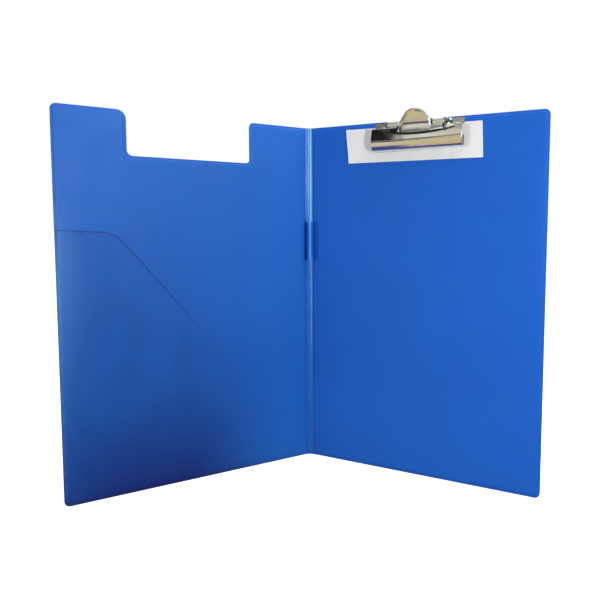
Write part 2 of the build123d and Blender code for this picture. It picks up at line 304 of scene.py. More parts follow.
def ring(points, radii, inset, fold_edge=None, fold_move=None, n_arc=7, step=7.0):
    """The outline set in by inset, with rounded corners. Points run
    anticlockwise. Every inset gives the same number of points, so that rings
    join point to point. Edge fold_edge moves by fold_move instead."""
    n = len(points)
    p = [Vector(q) for q in points]
    dirs = [(p[(i + 1) % n] - p[i]).normalized() for i in range(n)]
    lens = [(p[(i + 1) % n] - p[i]).length for i in range(n)]
    move = [fold_move if i == fold_edge and fold_move is not None else inset for i in range(n)]
    corners = []
    for i in range(n):
        a, b = (i - 1) % n, i
        na, nb = Vector((-dirs[a].y, dirs[a].x)), Vector((-dirs[b].y, dirs[b].x))
        cross = dirs[a].x * dirs[b].y - dirs[a].y * dirs[b].x
        # solve for the crossing of the two moved edges
        pa = p[i] + na * move[a]
        pb = p[i] + nb * move[b]
        t = ((pb - pa).x * dirs[b].y - (pb - pa).y * dirs[b].x) / cross
        corners.append((pa + dirs[a] * t, cross > 0))
    out = []
    for i in range(n):
        c, convex = corners[i]
        a, b = (i - 1) % n, i
        r0 = radii[i]
        r = max(r0 - 0.6 * inset, 0.35) if convex else r0 + inset
        turn = dirs[a].angle(dirs[b])
        tan = r * math.tan(turn / 2)
        start, end = c - dirs[a] * tan, c + dirs[b] * tan
        side = 1 if convex else -1
        centre = start + Vector((-dirs[a].y, dirs[a].x)) * r * side
        for k in range(n_arc):
            f = k / (n_arc - 1)
            ang = turn * f * side
            rel = start - centre
            out.append((
                centre.x + rel.x * math.cos(ang) - rel.y * math.sin(ang),
                centre.y + rel.x * math.sin(ang) + rel.y * math.cos(ang),
            ))
        # straight stretch to the next corner
        nxt = corners[(i + 1) % n]
        r2 = max(radii[(i + 1) % n] - 0.6 * inset, 0.35) if nxt[1] else radii[(i + 1) % n] + inset
        turn2 = dirs[b].angle(dirs[(i + 1) % n])
        stop = nxt[0] - dirs[b] * r2 * math.tan(turn2 / 2)
        parts = max(1, int(lens[i] / step))
        here = Vector(out[-1])
        for k in range(1, parts):
            q = here.lerp(stop, k / parts)
            out.append((q.x, q.y))
    return out


def fill(boundary, interior):
    """Triangles over the boundary polygon and the points inside it. Returns
    the points in the given order first, and the triangles."""
    pts = [Vector(q) for q in boundary] + [Vector(q) for q in interior]
    nb = len(boundary)
    edges = [(i, (i + 1) % nb) for i in range(nb)]
    out = delaunay_2d_cdt(pts, edges, [], 1, 1e-7)
    verts, tris, orig = out[0], out[2], out[3]
    index = {}
    for k, o in enumerate(orig):
        if not o:
            raise RuntimeError("the fill made a new point")
        index[k] = o[0]
    return [tuple(index[k] for k in t) for t in tris]


def outward(tris, pts):
    """Turns each triangle anticlockwise in its plane."""
    res = []
    for t in tris:
        (ax, ay), (bx, by), (cx, cy) = (pts[k] for k in t)
        area = (bx - ax) * (cy - ay) - (by - ay) * (cx - ax)
        res.append(t if area > 0 else (t[0], t[2], t[1]))
    return res


def soft(u, z, seed, scale, amount):
    return amount * noise.noise(Vector((u / scale, z / scale, seed)))


# ---------------------------------------------------------------- covers
REAR_PTS = [(0, 0), (BOARD_W, 0), (BOARD_W, BOARD_H), (0, BOARD_H)]
REAR_R = [1.5, 5, 5, 1.5]
NOTCH_IN, NOTCH_OUT, NOTCH_Z = 62.0, 175.5, 301.2
FRONT_PTS = [
    (0, 0), (BOARD_W, 0), (BOARD_W, BOARD_H), (NOTCH_OUT, BOARD_H),
    (NOTCH_OUT, NOTCH_Z), (NOTCH_IN, NOTCH_Z), (NOTCH_IN, BOARD_H), (0, BOARD_H),
]
FRONT_R = [1.5, 5, 5, 8, 5, 3.5, 5, 1.5]
FACE = 1.4

# welded margin and raised panel: inset from the edge, height over the
# mid-plane, inset from the fold line
PROFILE = [
    (0.00, 0.00, 1.55), (0.02, 0.16, 1.56), (0.10, 0.30, 1.59), (0.28, 0.40, 1.62), (0.62, 0.42, 1.65),
    (1.15, 0.36, 1.68), (1.50, 0.36, 1.71), (1.78, 0.50, 1.75), (1.98, 0.78, 1.83), (2.16, 1.06, 1.93),
    (2.46, 1.27, 2.13), (2.95, 1.37, 2.75), (3.8, 1.40, 3.8),
]


def edge_distance(u, z, notched):
    d = min(u, BOARD_W - u, z, BOARD_H - z)
    if notched:
        du = max(NOTCH_IN - u, u - NOTCH_OUT, 0.0)
        dz = max(NOTCH_Z - z, 0.0)
        d = min(d, math.hypot(du, dz))
    return d


def cover_skin(name, place, side, notched, seed, wave, body, replaces, grid=6.5, material=None, tone=None):
    """One vinyl sheet of a cover. side is +1 for the inner sheet. place maps
    (u, z, n) to the row frame."""
    points, radii = (FRONT_PTS, FRONT_R) if notched else (REAR_PTS, REAR_R)
    fold = len(points) - 1
    rings = [ring(points, radii, i, fold, f) for i, _, f in PROFILE]
    count = len(rings[0])
    flat, top = [], []
    for (i, h, f), r in zip(PROFILE, rings):
        for u, z in r:
            flat.append((u, z))
            fade = min(1.0, max(0.0, (h - 0.9) / 0.5))
            ripple = 0.05 * noise.noise(Vector((u / 9.0, z / 9.0, seed + 3.0))) * (1.0 if h < 0.9 and i > 0.3 else 0.0)
            top.append(h + fade * 0.25 * wave(u, z) + ripple)
    inner = []
    z = grid * 0.5
    row = 0
    while z < BOARD_H:
        u = grid * (0.5 if row % 2 else 0.0)
        while u < BOARD_W:
            if edge_distance(u, z, notched) > 4.2 + grid * 0.45 and u > 4.2 + grid * 0.45:
                inner.append((u, z))
            u += grid
        z += grid * 0.87
        row += 1
    for u, z in inner:
        flat.append((u, z))
        d = min(1.0, (edge_distance(u, z, notched) - 3.8) / 12.0)
        top.append(FACE + (0.25 + 0.75 * d) * wave(u, z))
    last = (len(PROFILE) - 1) * count
    tris = fill(rings[-1], inner)
    tris = [tuple(last + k for k in t) for t in tris]
    tris = outward(tris, flat)
    faces = []
    for k in range(len(PROFILE) - 1):
        a, b = k * count, (k + 1) * count
        for j in range(count):
            j2 = (j + 1) % count
            faces.append((a + j, a + j2, b + j2, b + j))
    faces += tris
    # the sheet's other face, 0.4 mm below, joined along the outer edge
    verts = [place(u, z, side * h) for (u, z), h in zip(flat, top)]
    total = len(verts)
    back = {}
    for k in range(total):
        if k < count:
            back[k] = k
        else:
            back[k] = len(verts)
            (u, z), h = flat[k], top[k]
            verts.append(place(u, z, side * max(h - 0.4, 0.0 if h > 0.45 else 0.005)))
    faces += [tuple(back[k] for k in reversed(f)) for f in faces]
    # the covers' own axes are left-handed for one side, so faces are turned
    a, b, c = (Vector(place(*q)) for q in ((10, 10, 0), (20, 10, 0), (10, 20, 0)))
    normal = (b - a).cross(c - a)
    want = Vector(place(10, 10, side)) - a
    if normal.dot(want) < 0:
        faces = [tuple(reversed(f)) for f in faces]
    obj = make(name, verts, faces, material or mat_vinyl, body, replaces, "blue_vinyl")
    if tone:
        # painted shade by the tone attribute, and painted sheen near the free outer edge
        tones = [tone(u, z) for u, z in flat]
        obj.data.attributes.new("tone", "FLOAT", "POINT").data.foreach_set("value", tones + tones[count:])
        sheen_levels = [painted_edge_sheen(u, z) for u, z in flat]
        obj.data.attributes.new("painted_sheen", "FLOAT", "POINT").data.foreach_set("value", sheen_levels + sheen_levels[count:])
    return obj


def wave_rear(u, z):
    return soft(u, z, 1.7, 70.0, 0.22) + soft(u, z, 4.1, 24.0, 0.05)


def wave_front(u, z):
    return soft(u, z, 8.3, 64.0, 0.26) + soft(u, z, 6.9, 22.0, 0.06)


def wave_outer(u, z):
    return soft(u, z, 12.4, 75.0, 0.22) + soft(u, z, 2.2, 26.0, 0.05)


def shade(u, z):
    """Painted shade: how far the front cover's tone has gone over to the darker painted-shade colour, most at the foot
    and away from the fold."""
    t = min(1.0, max(0.0, (u - 18.0) / 115.0))
    side = t * t * (3 - 2 * t) * (1.0 - 0.20 * max(0.0, (u - 175.0) / 60.0))
    return 0.95 * side * math.exp(-z / 116.0)


def painted_edge_sheen(u, z):
    """Painted sheen: how much paler the front cover is painted towards its free outer edge."""
    level = float(np.interp(z, [0, 60, 95, 162, 212, 250, 285], [0.03, 0.06, 0.13, 0.27, 0.44, 0.20, 0.0]))
    return level * math.exp(-((max(0.0, 232.0 - u) / 12.0) ** 1.3))


rear_inner = cover_skin("rear_cover_inner_vinyl", rear, 1, False, 1.0, wave_rear, "rear_cover", ("rear_inner_skin",), material=mat_rear)
rear_outer = cover_skin("rear_cover_outer_vinyl", rear, -1, False, 2.0, wave_outer, "rear_cover", ("rear_outer_skin",), material=mat_rear)
front_inner = cover_skin("front_cover_inner_vinyl", front, 1, True, 3.0, wave_front, "front_cover", ("front_inner_skin",), material=mat_pocket, tone=shade)
front_outer = cover_skin("front_cover_outer_vinyl", front, -1, True, 4.0, wave_outer, "front_cover", ("front_outer_skin",))


# ---------------------------------------------------------------- spine
def strip_path(q):
    """Plan position and inner normal at distance q from the spine's middle,
    towards the front cover. The bend is an arc about the fold line."""
    tangent = 0.85
    turn = math.radians(30)
    radius = tangent / math.tan(turn / 2)
    arc = radius * turn
    q_arc = SPINE_W / 2 - tangent
    if q <= q_arc:
        return np.array([q, 0.0]), np.array([0.0, 1.0])
    if q >= q_arc + arc:
        rest = q - q_arc - arc + tangent
        d = np.array([math.cos(turn), math.sin(turn)])
        return np.array([SPINE_W / 2, 0.0]) + d * rest, np.array([-math.sin(turn), math.cos(turn)])
    a = (q - q_arc) / radius
    return np.array([q_arc + radius * math.sin(a), radius * (1 - math.cos(a))]), np.array([-math.sin(a), math.cos(a)])


def spine_half(name, direction):
    """Half of the double vinyl strip, from the spine's middle to the foot of
    a cover's panel. direction +1 runs to the front cover, -1 to the rear."""
    qs = [0.0, 0.15, 0.3, 0.45, 0.6, 0.75, 0.9, 1.05, 1.2, 1.32, 1.45, 1.58, 1.7, 1.85, 2.0, 2.15, 2.35, 2.5, 2.65, 2.8, 2.95, 3.1, 3.25, 3.4, 3.55, 3.75, 3.95, 4.2, 4.5, 4.9, 5.3]
    zs = np.linspace(0.0, BOARD_H, 86)
    verts, faces = [], []
    rows = len(qs)
    seed = 21.0 if direction > 0 else 33.0

    def inner_height(q, z):
        at = 1.45 if direction > 0 else 0.45
        crease = -0.22 * math.exp(-(((q - at) / 0.30) ** 2))
        bead = 0.16 * math.exp(-(((q - 3.1) / 0.34) ** 2))
        lift = 0.07 * max(0.0, min(q, 2.4) - at) if direction < 0 else 0.0
        wobble = 1 + 0.35 * noise.noise(Vector((q * 0.3, z / 14.0, seed)))
        sway = 0.035 * noise.noise(Vector((q * 0.8, z / 9.0, seed + 4.0))) * math.exp(-(((q - 1.2) / 1.1) ** 2))
        return 0.4 + bead * wobble + crease * wobble + lift + sway

    for z in zs:
        for q in qs:
            wander = 0.12 * noise.noise(Vector((z / 30.0, seed, 0.0))) * min(1.0, q / 2.0) * (1.0 if q < 4.4 else 0.0)
            p, nrm = strip_path(q + wander)
            h = inner_height(q, z) if q < 5.2 else 0.36
            for side_h in (h, -0.4 - 0.12 * math.exp(-(((q - 3.0) / 0.5) ** 2))):
                a = p + nrm * side_h
                l = SPINE_W / 2 + direction * a[0]
                verts.append(spine(l, z, a[1]))
    per = rows * 2
    for i in range(len(zs) - 1):
        for j in range(rows - 1):
            a = i * per + j * 2
            b = a + per
            faces.append((a, a + 2, b + 2, b))           # inner face
            faces.append((a + 1, b + 1, b + 3, a + 3))   # outer face
        a, b = i * per, (i + 1) * per
        e = (rows - 1) * 2
        faces.append((a, b, b + 1, a + 1))
        faces.append((a + e, a + e + 1, b + e + 1, b + e))
    for i, flip in ((0, False), (len(zs) - 1, True)):
        base = i * per
        for j in range(rows - 1):
            a = base + j * 2
            f = (a, a + 1, a + 3, a + 2)
            faces.append(tuple(reversed(f)) if flip else f)
    if direction < 0:
        faces = [tuple(reversed(f)) for f in faces]
    obj = make(name, verts, faces, mat_spine, sharp=60)
    return obj


front_strip = spine_half("spine_vinyl_front_half", 1)
rear_strip = spine_half("spine_vinyl_rear_half", -1)
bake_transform(front_strip)
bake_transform(rear_strip)
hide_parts("spine_inner_skin")
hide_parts("spine_outer_skin")


# ---------------------------------------------------------------- pen loop
LOOP_Z0, LOOP_Z1, LOOP_L = 206.0, 246.0, 2.2


def loop_half(name, direction):
    """Half of the flattened vinyl tube, cut at the spine's middle. The tube
    leans a little towards the rear cover."""
    wall = 0.5
    na, nz = 26, 22
    verts, faces = [], []

    def section(a, z, off):
        # a runs from the crown (0) to the foot (pi)
        f = (z - LOOP_Z0) / (LOOP_Z1 - LOOP_Z0)
        flare = 1 + 0.05 * math.cos(2 * math.pi * f)
        half = 3.5 * flare - off
        deep = 5.0 - off
        x = half * math.sin(a) * (1.0 - 0.10 * math.cos(a))
        y = deep * math.cos(a)
        pinch = 0.25 * math.exp(-((a / 0.35) ** 2))
        n = 5.4 + y + pinch - (0.25 if a > 2.9 else 0.0)
        lean = -0.35 * (n / 10.0) ** 1.2 if n > 0 else 0.0
        return LOOP_L + direction * x + lean, n

    for iz in range(nz + 1):
        z = LOOP_Z0 + (LOOP_Z1 - LOOP_Z0) * iz / nz
        for ia in range(na + 1):
            a = math.pi * ia / na
            for off in (0.0, wall):
                l, n = section(a, z, off)
                sag = 0.0
                if iz in (0, nz):
                    sag = 0.06
                verts.append(spine(l, z - sag * (1 if iz == nz else -1), max(n, 0.15)))
    per = (na + 1) * 2
    for iz in range(nz):
        for ia in range(na):
            a = iz * per + ia * 2
            b = a + per
            faces.append((a, b, b + 2, a + 2))
            faces.append((a + 1, a + 3, b + 3, b + 1))
        for e in (0, na * 2):
            a, b = iz * per + e, (iz + 1) * per + e
            f = (a, a + 1, b + 1, b)
            faces.append(f if e == 0 else tuple(reversed(f)))
    for iz in (0, nz):
        for ia in range(na):
            a = iz * per + ia * 2
            f = (a, a + 2, a + 3, a + 1)
            faces.append(f if iz == 0 else tuple(reversed(f)))
    if direction < 0:
        faces = [tuple(reversed(f)) for f in faces]
    obj = make(name, verts, faces, mat_loop, sharp=50)
    # painted highlight along the crown and at the top rim
    tones = []
    for iz in range(nz + 1):
        for ia in range(na + 1):
            a = math.pi * ia / na
            painted_highlight = 0.80 * math.exp(-((a / 0.34) ** 2))
            if iz == nz:
                painted_highlight = max(painted_highlight, 0.95 * math.exp(-((a / 1.1) ** 2)))
            tones += [painted_highlight, painted_highlight]
    obj.data.attributes.new("tone", "FLOAT", "POINT").data.foreach_set("value", tones)
    return obj


loop_front = loop_half("pen_loop_front_half", 1)
loop_rear = loop_half("pen_loop_rear_half", -1)
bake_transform(loop_front)
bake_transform(loop_rear)
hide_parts("pen_loop")


# ---------------------------------------------------------------- document pocket
KNEE = (188.0, 234.6)
POCKET_TOP = 236.6


def pocket_line():
    """The free edge, from the outer side of the cover over the knee and down
    the diagonal to the spine side."""
    pts = [(234.4, POCKET_TOP), (226, 236.5), (215, 236.1), (204, 235.5), (197.5, 235.1)]
    # rounded knee
    a, b = Vector((197.5, 235.1)), Vector((181.3, 226.6))
    k = Vector(KNEE) + Vector((0.4, 0.4))
    for t in (0.2, 0.4, 0.6, 0.8, 1.0):
        q = a * (1 - t) ** 2 + k * 2 * t * (1 - t) + b * t * t
        pts.append((q.x, q.y))
    end = Vector((1.2, 5.4))
    steps = 40
    for i in range(1, steps + 1):
        q = b.lerp(end, i / steps)
        # the free edge bows a little
        bow = 1.6 * math.sin(math.pi * i / steps) * (1 - 0.3 * i / steps)
        pts.append((q.x - bow * 0.72, q.y + bow * 0.69))
    return pts


def segment_distance(p, a, b):
    ab = (b[0] - a[0], b[1] - a[1])
    t = ((p[0] - a[0]) * ab[0] + (p[1] - a[1]) * ab[1]) / (ab[0] ** 2 + ab[1] ** 2)
    t = min(1.0, max(0.0, t))
    return math.hypot(p[0] - a[0] - ab[0] * t, p[1] - a[1] - ab[1] * t)


def document_pocket():
    free = pocket_line()
    weld = [(0.9, 3.0), (1.5, 1.2), (3.2, 0.5)] + [(u, 0.4) for u in range(9, 229, 6)]
    corner = [(229.9, 0.42), (231.6, 0.8), (233.2, 1.8), (234.2, 3.4), (234.55, 5.2)]
    side = [(234.6, z) for z in range(11, 233, 6)]
    boundary = weld + corner + side + free
    boundary = boundary[::-1] if polygon_area(boundary) < 0 else boundary
    inner = []
    step = 5.2
    z, row = 4.0, 0
    edge_pairs = list(zip(boundary, boundary[1:] + boundary[:1]))
    near = [2.2, 4.2]
    while z < 236:
        u = 3.0 + step * (0.5 if row % 2 else 0.0)
        while u < 234:
            if inside(u, z, boundary):
                d = min(segment_distance((u, z), a, b) for a, b in edge_pairs)
                if d > 2.6:
                    inner.append((u, z))
            u += step
        z += step * 0.87
        row += 1
    # extra rows along the welds, where the hem steps up
    for off in (1.0, 1.9, 2.9):
        for u in np.arange(8.0, 229.0, 4.4):
            if inside(u, 0.4 + off, boundary):
                inner.append((float(u), 0.4 + off))
        for zz in np.arange(8.0, 234.0, 4.4):
            inner.append((234.6 - off, float(zz)))
    # close rows along the free edge, where a painted shadow line runs
    free_pairs = list(zip(free, free[1:]))
    for off in (0.55, 1.1):
        for a, b in free_pairs[:-6]:
            d = (Vector(b) - Vector(a)).normalized()
            for t in (0.25, 0.75):
                q = Vector(a).lerp(Vector(b), t) + Vector((d.y, -d.x)) * off
                q2 = Vector(a).lerp(Vector(b), t) - Vector((d.y, -d.x)) * off
                q = q if inside(q.x, q.y, boundary) else q2
                if inside(q.x, q.y, boundary) and min(math.hypot(q.x - p[0], q.y - p[1]) for p in inner) > 0.3:
                    if abs(min(segment_distance((q.x, q.y), a2, b2) for a2, b2 in edge_pairs) - off) < 0.12:
                        inner.append((q.x, q.y))
    flat = list(boundary) + inner

    def height(u, z):
        # rests on the cover, held down by the two welds
        weld_d = min(z - 0.4, 234.6 - u)
        d_free, where = 1e9, 0.0
        for i, (a, b) in enumerate(free_pairs):
            d = segment_distance((u, z), a, b)
            if d < d_free:
                d_free, where = d, i / len(free_pairs)
        rise = min(1.0, max(0.0, weld_d) / 2.6)
        rise = rise * rise * (3 - 2 * rise)
        base = 0.62 + rise * (FACE + 0.40 - 0.62)
        lift = math.exp(-d_free / 26.0) * max(0.0, 1.0 - where * 1.25) * 0.75
        # the empty pocket balloons a little
        belly = 0.55 * math.sin(math.pi * min(1, u / 234.6)) * math.sin(math.pi * min(1, z / 236.0)) ** 0.8
        belly += 0.75 * (1 - math.exp(-max(0.0, 234.6 - u) / 9.0)) * min(1.0, max(0.0, (z - 90.0) / 110.0))
        billow = soft(u, z, 15.2, 48.0, 0.42) + soft(u, z, 11.9, 19.0, 0.10)
        crease = -0.22 * math.exp(-(((u - 54.4) / 0.9) ** 2)) * (1 if 45 < z < 79 else 0)
        near_cover = min(1.0, u / 60.0)
        h = base + rise * (lift + (belly + 0.45 * billow + 0.12) * near_cover + crease)
        return max(h, 0.62 + rise * (FACE + 0.42 - 0.62) + wave_front(u, z) * rise * 0.9)

    tops = [height(u, z) for u, z in flat]
    tris = outward(fill(boundary, inner), flat)
    thick = 0.32
    verts = [front(u, z, h) for (u, z), h in zip(flat, tops)]
    n = len(verts)
    verts += [front(u, z, h - thick) for (u, z), h in zip(flat, tops)]
    faces = list(tris) + [tuple(n + k for k in reversed(t)) for t in tris]
    nb = len(boundary)
    for i in range(nb):
        j = (i + 1) % nb
        faces.append((i, n + i, n + j, j))
    a, b, c = (Vector(front(*q)) for q in ((10, 10, 0), (20, 10, 0), (10, 20, 0)))
    if (b - a).cross(c - a).dot(Vector(front(10, 10, 1)) - a) < 0:
        faces = [tuple(reversed(f)) for f in faces]
    obj = make("document_pocket_vinyl", verts, faces, mat_pocket, "front_cover", ("document_pocket",), "blue_vinyl", sharp=50)
    attr = obj.data.attributes.new("tone", "FLOAT", "POINT")

    def rise_share(u, z):
        return min(1.0, max(0.0, (u - 70.0) / 50.0)) * min(1.0, z / 60.0)

    tones = []
    for u, z in flat:
        # painted shade: the pocket darker than the board beside it,
        # less so where the free edge runs out by the fold, with a mottle of painted wrinkle shade and a painted shadow
        # line along the free edge
        pocket_shade = shade(u, z) + 0.10 * min(1.0, max(0.0, (u - 60.0) / 90.0)) * min(1.0, max(0.0, (z - 100.0) / 80.0))
        d, where = min((segment_distance((u, z), a, b), i / len(free_pairs)) for i, (a, b) in enumerate(free_pairs))
        pocket_shade += rise_share(u, z) * (0.07 * noise.noise(Vector((u / 24.0, z / 36.0, 2.7))) + 0.05 * noise.noise(Vector((u / 9.0, z / 15.0, 8.3))))
        line = math.exp(-((max(0.0, d - 0.5) / 0.35) ** 2)) * min(1.0, max(0.0, (0.56 - where) / 0.22))
        tones.append(min(1.0, max(0.0, pocket_shade) + 0.62 * line))
    attr.data.foreach_set("value", tones + tones)
    # painted sheen near the free outer edge
    sheen_levels = [painted_edge_sheen(u, z) for u, z in flat]
    obj.data.attributes.new("painted_sheen", "FLOAT", "POINT").data.foreach_set("value", sheen_levels + sheen_levels)
    return obj


def polygon_area(pts):
    return 0.5 * sum(a[0] * b[1] - b[0] * a[1] for a, b in zip(pts, pts[1:] + pts[:1]))


def inside(x, y, poly):
    hit = False
    for (x0, y0), (x1, y1) in zip(poly, poly[1:] + poly[:1]):
        if (y0 > y) != (y1 > y) and x < (x1 - x0) * (y - y0) / (y1 - y0) + x0:
            hit = not hit
    return hit


pocket = document_pocket()


# ---------------------------------------------------------------- paper slip
def paper():
    cut_l, cut_r, cut_z = CLIP_U - 33.5, CLIP_U + 33.5, 317.0
    corners = [(44.4, 302.4), (178.5, 301.9), (177.2, 334.1), (cut_r, 334.3), (cut_r, cut_z), (cut_l, cut_z), (cut_l, 334.72), (41.2, 335.0)]
    boundary = []
    for a, b in zip(corners, corners[1:] + corners[:1]):
        steps = max(1, int(math.hypot(b[0] - a[0], b[1] - a[1]) / 3.5))
        for k in range(steps):
            t = k / steps
            boundary.append((a[0] + (b[0] - a[0]) * t, a[1] + (b[1] - a[1]) * t))
    pairs = list(zip(boundary, boundary[1:] + boundary[:1]))
    inner = []
    for z in np.arange(303.5, 335.0, 3.1):
        for u in np.arange(43.0, 178.0, 3.4):
            if inside(u, z, boundary) and min(segment_distance((u, z), a, b) for a, b in pairs) > 1.5:
                inner.append((float(u), float(z)))
    flat = boundary + inner

    def height(u, z):
        away = max(0.0, abs(u - CLIP_U) - 44.0)
        low = max(0.0, 312.0 - z)
        h = 1.97 + 0.0011 * away * away * (1.0 if u < CLIP_U else 0.35)
        h += 0.005 * low * low + 0.06 * noise.noise(Vector((u / 25.0, z / 18.0, 3.3)))
        return h

    tris = outward(fill(boundary, inner), flat)
    verts = [rear(u, z, height(u, z) + 0.12) for u, z in flat]
    n = len(verts)
    verts += [rear(u, z, height(u, z) - 0.1) for u, z in flat]
    faces = list(tris) + [tuple(n + k for k in reversed(t)) for t in tris]
    nb = len(boundary)
    for i in range(nb):
        j = (i + 1) % nb
        faces.append((i, n + i, n + j, j))
    return make("paper_slip_sheet", verts, faces, mat_paper, "paper_slip", ("paper_slip",), "white_paper", sharp=50)


slip = paper()

# ---------------------------------------------------------------- clip
def spline(points, count):
    """Points of a natural cubic through the given (n, z) points, evenly
    spread over its length."""
    p = np.array(points, float)
    t = np.concatenate([[0.0], np.cumsum(np.linalg.norm(np.diff(p, axis=0), axis=1))])
    h = np.diff(t)
    m = len(p)
    a = np.zeros((m, m))
    rhs = np.zeros((m, 2))
    a[0, 0] = a[-1, -1] = 1.0
    for i in range(1, m - 1):
        a[i, i - 1], a[i, i], a[i, i + 1] = h[i - 1], 2 * (h[i - 1] + h[i]), h[i]
        rhs[i] = 6 * ((p[i + 1] - p[i]) / h[i] - (p[i] - p[i - 1]) / h[i - 1])
    c = np.linalg.solve(a, rhs)

    def at(x):
        i = min(max(int(np.searchsorted(t, x) - 1), 0), m - 2)
        u, v = x - t[i], t[i + 1] - x
        return (c[i] * v ** 3 + c[i + 1] * u ** 3) / (6 * h[i]) + (p[i] / h[i] - c[i] * h[i] / 6) * v + (p[i + 1] / h[i] - c[i + 1] * h[i] / 6) * u

    fine = np.array([at(x) for x in np.linspace(0, t[-1], 600)])
    run = np.concatenate([[0.0], np.cumsum(np.linalg.norm(np.diff(fine, axis=0), axis=1))])
    want = np.linspace(0, run[-1], count)
    return np.stack([np.interp(want, run, fine[:, k]) for k in (0, 1)], axis=1)


def path_normals(path):
    """Normals on the left of the way the path runs."""
    d = np.gradient(path, axis=0)
    d /= np.linalg.norm(d, axis=1)[:, None]
    return np.stack([-d[:, 1], d[:, 0]], axis=1)


def edge_steps(lo, hi, cells, r):
    """Positions from lo to hi, dense at both ends, where the edge is round."""
    e = [0.0, 0.05 * r, 0.2 * r, 0.45 * r, 0.75 * r, r]
    mid = np.linspace(lo + r, hi - r, cells + 1)
    return np.array([lo + x for x in e[:-1]] + list(mid) + [hi - x for x in reversed(e[:-1])])


def drop(e, r):
    e = min(max(e, 0.0), r)
    return r - math.sqrt(max(0.0, r * r - (r - e) ** 2))


def folded(path, thick, s_low, s_high, wave=None, step=1.2, r=0.28, cells=60):
    """A bent sheet: the path is its outer face in (n, z), the sheet lies on
    the path's right and runs along s. s_low and s_high give its two ends at
    a share of the path. Returns vertices and faces of a closed mesh."""
    run = np.concatenate([[0.0], np.cumsum(np.linalg.norm(np.diff(path, axis=0), axis=1))])
    total = run[-1]
    at = edge_steps(0.0, total, max(4, int(total / step)), r)
    p = np.stack([np.interp(at, run, path[:, k]) for k in (0, 1)], axis=1)
    nrm_all = path_normals(path)
    nrm = np.stack([np.interp(at, run, nrm_all[:, k]) for k in (0, 1)], axis=1)
    nrm /= np.linalg.norm(nrm, axis=1)[:, None]
    verts, faces = [], []
    for i in range(len(at)):
        f = at[i] / total
        lo, hi = s_low(f), s_high(f)
        for s in edge_steps(lo, hi, cells, r):
            e = min(s - lo, hi - s)
            d = max(drop(e, r), drop(min(at[i], total - at[i]), r))
            w = wave(s, f) if wave else 0.0
            for depth in (-d + w, -thick + d + w):
                q = p[i] + nrm[i] * depth
                verts.append(clip(s, q[1], q[0]))
    per = len(verts) // len(at)
    n_cols = per // 2
    for i in range(len(at) - 1):
        for j in range(n_cols - 1):
            a = i * per + 2 * j
            b = a + per
            faces.append((a, a + 2, b + 2, b))
            faces.append((a + 1, b + 1, b + 3, a + 3))
        for j, flip in ((0, False), (n_cols - 1, True)):
            a = i * per + 2 * j
            b = a + per
            f = (a, b, b + 1, a + 1)
            faces.append(tuple(reversed(f)) if flip else f)
    for i, flip in ((0, True), (len(at) - 1, False)):
        for j in range(n_cols - 1):
            a = i * per + 2 * j
            f = (a, a + 2, a + 3, a + 1)
            faces.append(tuple(reversed(f)) if not flip else f)
    return verts, faces


def joined(parts):
    verts, faces = [], []
    for v, f in parts:
        k = len(verts)
        verts += list(v)
        faces += [tuple(k + i for i in q) for q in f]
    return verts, faces


def plate_mesh(boundary, height, thick, spacing, r=0.3, more=()):
    """A pressed sheet over a closed outline in (s, z), its front at height
    n = height(s, z), with round edges."""
    pts = [Vector(q) for q in boundary]
    if polygon_area([tuple(q) for q in pts]) < 0:
        pts = pts[::-1]
    m = len(pts)
    inward = []
    for i in range(m):
        d1 = (pts[i] - pts[i - 1]).normalized()
        d2 = (pts[(i + 1) % m] - pts[i]).normalized()
        n1, n2 = Vector((-d1.y, d1.x)), Vector((-d2.y, d2.x))
        v = (n1 + n2).normalized()
        inward.append(v / max(0.5, v.dot(n1)))
    insets = [0.0, 0.06 * r, 0.25 * r, 0.55 * r, r]
    flat, fall = [], []
    for e in insets:
        for q, v in zip(pts, inward):
            w = q + v * e
            flat.append((w.x, w.y))
            fall.append(drop(e, r))
    last = flat[-m:]
    pairs = list(zip(last, last[1:] + last[:1]))
    inner = [q for q in more if inside(q[0], q[1], last) and min(segment_distance(q, a, b) for a, b in pairs) > 0.08]
    dense = list(inner)
    lo = [min(q[k] for q in last) for k in (0, 1)]
    hi = [max(q[k] for q in last) for k in (0, 1)]
    z, row = lo[1] + spacing * 0.5, 0
    while z < hi[1]:
        x = lo[0] + spacing * (0.5 if row % 2 else 1.0)
        while x < hi[0]:
            near = min((math.hypot(x - q[0], z - q[1]) for q in dense), default=9.0)
            if near > 0.4 and inside(x, z, last) and min(segment_distance((x, z), a, b) for a, b in pairs) > spacing * 0.45:
                inner.append((x, z))
            x += spacing
        z += spacing * 0.87
        row += 1
    base = (len(insets) - 1) * m
    tris = [tuple(base + k for k in t) for t in fill(last, inner)]
    flat += inner
    fall += [0.0] * len(inner)
    tris = outward(tris, flat)
    faces = []
    for k in range(len(insets) - 1):
        for j in range(m):
            j2 = (j + 1) % m
            faces.append((k * m + j, k * m + j2, (k + 1) * m + j2, (k + 1) * m + j))
    faces += tris
    top = [height(x, z) for x, z in flat]
    verts = [clip(x, z, h - f) for (x, z), h, f in zip(flat, top, fall)]
    n = len(verts)
    verts += [clip(x, z, h - thick + f) for (x, z), h, f in zip(flat, top, fall)]
    faces += [tuple(n + k for k in reversed(f)) for f in faces]
    for j in range(m):
        j2 = (j + 1) % m
        faces.append((j, n + j, n + j2, j2))
    return verts, faces


